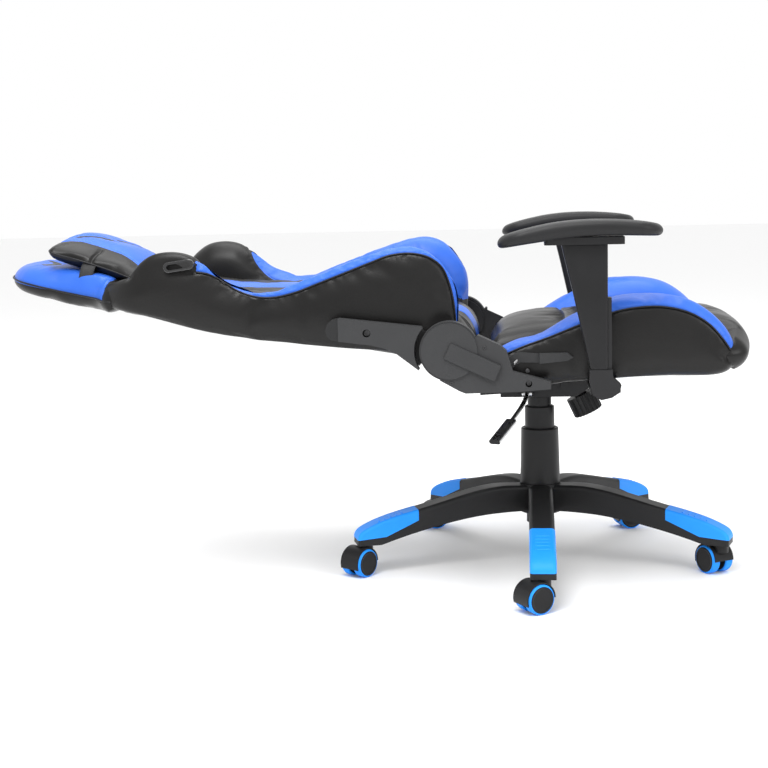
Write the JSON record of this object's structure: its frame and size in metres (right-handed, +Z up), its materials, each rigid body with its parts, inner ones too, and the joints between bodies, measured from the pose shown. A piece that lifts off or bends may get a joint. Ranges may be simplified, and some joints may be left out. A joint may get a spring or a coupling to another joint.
{
  "type": "gaming chair",
  "caption": "Racing-style office chair on a five-star caster base, laid back nearly flat, with height-adjustable arms, winged backrest and neck pillow.",
  "frame": {"origin": "on the floor, on the axis of the gas lift", "axes": "+X the way the sitter faces, +Y the sitter's left, +Z up"},
  "size_m": [1.3192, 0.7148, 0.633],
  "materials": {
    "nylon_black": "moulded black nylon, satin",
    "insert_blue": "sky-blue soft-touch plastic",
    "caster_black": "moulded black nylon",
    "wheel_black": "black disc with a sky-blue tread",
    "lift_steel": "black painted steel tube",
    "bright_steel": "bright steel",
    "cover_black": "smooth black plastic",
    "frame_steel": "black powder coat",
    "hinge_plastic": "dark grey grained plastic",
    "pad_black": "smooth black polyurethane pad",
    "webbing": "woven elastic webbing",
    "leather_black": "black coated upholstery over foam",
    "leather_blue": "royal blue coated upholstery over foam",
    "strap_black": "black elastic band",
    "gloss_black": "glossy black plastic"
  },
  "bodies": {
    "base": {"star_base": "nylon_black", "leg_inserts": "insert_blue", "gas_cylinder": "lift_steel", "cover_lower": "cover_black"},
    "cover_stage": {"cover_middle": "cover_black"},
    "rod": {"piston_rod": "bright_steel"},
    "mechanism": {"lift_tube": "bright_steel", "cover_upper": "cover_black", "mechanism_housing": "frame_steel"},
    "lever": {"lift_lever": "bright_steel"},
    "knob": {"tension_knob": "cover_black"},
    "seat": {"seat_plate": "frame_steel", "rocker_pin": "frame_steel", "seat_frame": "frame_steel", "seat_webbing": "webbing", "seat_cushion": "leather_black", "seat_bolster_right": "leather_blue", "seat_bolster_left": "leather_blue", "arm_bracket_right": "frame_steel", "arm_bracket_left": "frame_steel", "seat_bracket_right": "frame_steel", "seat_bracket_left": "frame_steel", "seat_bracket_cover_right": "hinge_plastic", "seat_bracket_cover_left": "hinge_plastic", "hinge_cap_right": "hinge_plastic", "hinge_cap_left": "hinge_plastic"},
    "backrest": {"back_bracket_right": "frame_steel", "back_bracket_left": "frame_steel", "back_bracket_cover_right": "hinge_plastic", "back_bracket_cover_left": "hinge_plastic", "back_frame": "frame_steel", "back_pad": "leather_black", "back_wing_right": "leather_black", "back_wing_left": "leather_black", "headrest": "leather_blue", "pillow": "leather_blue", "pillow_strap": "strap_black", "belt_grommets": "gloss_black"},
    "recline_handle": {"recline_lever": "frame_steel"},
    "arm_right": {"arm_sleeve_right": "cover_black", "arm_pad_right": "pad_black"},
    "button_right": {"arm_button_right": "gloss_black"},
    "arm_left": {"arm_sleeve_left": "cover_black", "arm_pad_left": "pad_black"},
    "button_left": {"arm_button_left": "gloss_black"},
    "caster_1": {"caster_1": "caster_black"},
    "wheel_1a": {"caster_1_wheel_a": "wheel_black"},
    "wheel_1b": {"caster_1_wheel_b": "wheel_black"},
    "caster_2": {"caster_2": "caster_black"},
    "wheel_2a": {"caster_2_wheel_a": "wheel_black"},
    "wheel_2b": {"caster_2_wheel_b": "wheel_black"},
    "caster_3": {"caster_3": "caster_black"},
    "wheel_3a": {"caster_3_wheel_a": "wheel_black"},
    "wheel_3b": {"caster_3_wheel_b": "wheel_black"},
    "caster_4": {"caster_4": "caster_black"},
    "wheel_4a": {"caster_4_wheel_a": "wheel_black"},
    "wheel_4b": {"caster_4_wheel_b": "wheel_black"},
    "caster_5": {"caster_5": "caster_black"},
    "wheel_5a": {"caster_5_wheel_a": "wheel_black"},
    "wheel_5b": {"caster_5_wheel_b": "wheel_black"}
  },
  "joints": [
    {"name": "seat_swivel", "type": "hinge", "parent": "base", "child": "rod", "pos_m": [0, 0, 0.089], "axis": [0, 0, 1], "continuous": true},
    {"name": "gas_lift", "type": "slide", "parent": "rod", "child": "mechanism", "axis": [0, 0, 1], "range_m": [0, 0.09]},
    {"name": "cover_slide", "type": "slide", "parent": "base", "child": "cover_stage", "axis": [0, 0, 1], "range_m": [0, 0.045]},
    {"name": "seat_rocking", "type": "hinge", "parent": "mechanism", "child": "seat", "pos_m": [0.045, 0, 0.331], "axis": [0, -1, 0], "range_deg": [0, 10], "stiffness_Nm_per_rad": 420, "springref_deg": -20.05},
    {"name": "lift_lever_pull", "type": "hinge", "parent": "mechanism", "child": "lever", "pos_m": [-0.023, -0.061, 0.319], "axis": [-1, 0, 0], "range_deg": [0, 7], "stiffness_Nm_per_rad": 6, "springref_deg": -4.58},
    {"name": "tension_turn", "type": "hinge", "parent": "mechanism", "child": "knob", "pos_m": [0.07, 0, 0.316], "axis": [0.4226, 0, -0.9063], "continuous": true},
    {"name": "backrest_recline", "type": "hinge", "parent": "seat", "child": "backrest", "pos_m": [-0.149, 0, 0.421], "axis": [0, 1, 0], "range_deg": [0, 78]},
    {"name": "recline_lever_pull", "type": "hinge", "parent": "seat", "child": "recline_handle", "pos_m": [-0.062, -0.256, 0.393], "axis": [0, -1, 0], "range_deg": [0, 25], "stiffness_Nm_per_rad": 3, "springref_deg": -8.59},
    {"name": "arm_height_right", "type": "slide", "parent": "seat", "child": "arm_right", "axis": [0, 0, 1], "range_m": [0, 0.07]},
    {"name": "arm_button_press_right", "type": "slide", "parent": "arm_right", "child": "button_right", "axis": [0, -1, 0], "range_m": [0, 0.003], "stiffness_N_per_m": 400, "springref_m": -0.002},
    {"name": "arm_height_left", "type": "slide", "parent": "seat", "child": "arm_left", "axis": [0, 0, 1], "range_m": [0, 0.07]},
    {"name": "arm_button_press_left", "type": "slide", "parent": "arm_left", "child": "button_left", "axis": [0, 1, 0], "range_m": [0, 0.003], "stiffness_N_per_m": 400, "springref_m": -0.002},
    {"name": "caster_1_swivel", "type": "hinge", "parent": "base", "child": "caster_1", "pos_m": [0, -0.33, 0.07], "axis": [0, 0, 1], "continuous": true},
    {"name": "wheel_1a_roll", "type": "hinge", "parent": "caster_1", "child": "wheel_1a", "pos_m": [-0.01474, -0.34032, 0.025], "axis": [0.5736, -0.8192, 0], "continuous": true},
    {"name": "wheel_1b_roll", "type": "hinge", "parent": "caster_1", "child": "wheel_1b", "pos_m": [-0.01474, -0.34032, 0.025], "axis": [0.5736, -0.8192, 0], "continuous": true},
    {"name": "caster_2_swivel", "type": "hinge", "parent": "base", "child": "caster_2", "pos_m": [0.31385, -0.10198, 0.07], "axis": [0, 0, 1], "continuous": true},
    {"name": "wheel_2a_roll", "type": "hinge", "parent": "caster_2", "child": "wheel_2a", "pos_m": [0.30405, -0.08688, 0.025], "axis": [-0.8387, -0.5446, 0], "continuous": true},
    {"name": "wheel_2b_roll", "type": "hinge", "parent": "caster_2", "child": "wheel_2b", "pos_m": [0.30405, -0.08688, 0.025], "axis": [-0.8387, -0.5446, 0], "continuous": true},
    {"name": "caster_3_swivel", "type": "hinge", "parent": "base", "child": "caster_3", "pos_m": [0.19397, 0.26698, 0.07], "axis": [0, 0, 1], "continuous": true},
    {"name": "wheel_3a_roll", "type": "hinge", "parent": "caster_3", "child": "wheel_3a", "pos_m": [0.17705, 0.26082, 0.025], "axis": [0.342, -0.9397, 0], "continuous": true},
    {"name": "wheel_3b_roll", "type": "hinge", "parent": "caster_3", "child": "wheel_3b", "pos_m": [0.17705, 0.26082, 0.025], "axis": [0.342, -0.9397, 0], "continuous": true},
    {"name": "caster_4_swivel", "type": "hinge", "parent": "base", "child": "caster_4", "pos_m": [-0.19397, 0.26698, 0.07], "axis": [0, 0, 1], "continuous": true},
    {"name": "wheel_4a_roll", "type": "hinge", "parent": "caster_4", "child": "wheel_4a", "pos_m": [-0.21136, 0.26232, 0.025], "axis": [0.2588, -0.9659, 0], "continuous": true},
    {"name": "wheel_4b_roll", "type": "hinge", "parent": "caster_4", "child": "wheel_4b", "pos_m": [-0.21136, 0.26232, 0.025], "axis": [0.2588, -0.9659, 0], "continuous": true},
    {"name": "caster_5_swivel", "type": "hinge", "parent": "base", "child": "caster_5", "pos_m": [-0.31385, -0.10198, 0.07], "axis": [0, 0, 1], "continuous": true},
    {"name": "wheel_5a_roll", "type": "hinge", "parent": "caster_5", "child": "wheel_5a", "pos_m": [-0.32443, -0.11654, 0.025], "axis": [0.809, -0.5878, 0], "continuous": true},
    {"name": "wheel_5b_roll", "type": "hinge", "parent": "caster_5", "child": "wheel_5b", "pos_m": [-0.32443, -0.11654, 0.025], "axis": [0.809, -0.5878, 0], "continuous": true}
  ],
  "couplings": [
    {"joint": "cover_slide", "follows": "gas_lift", "ratio": 0.5}
  ]
}
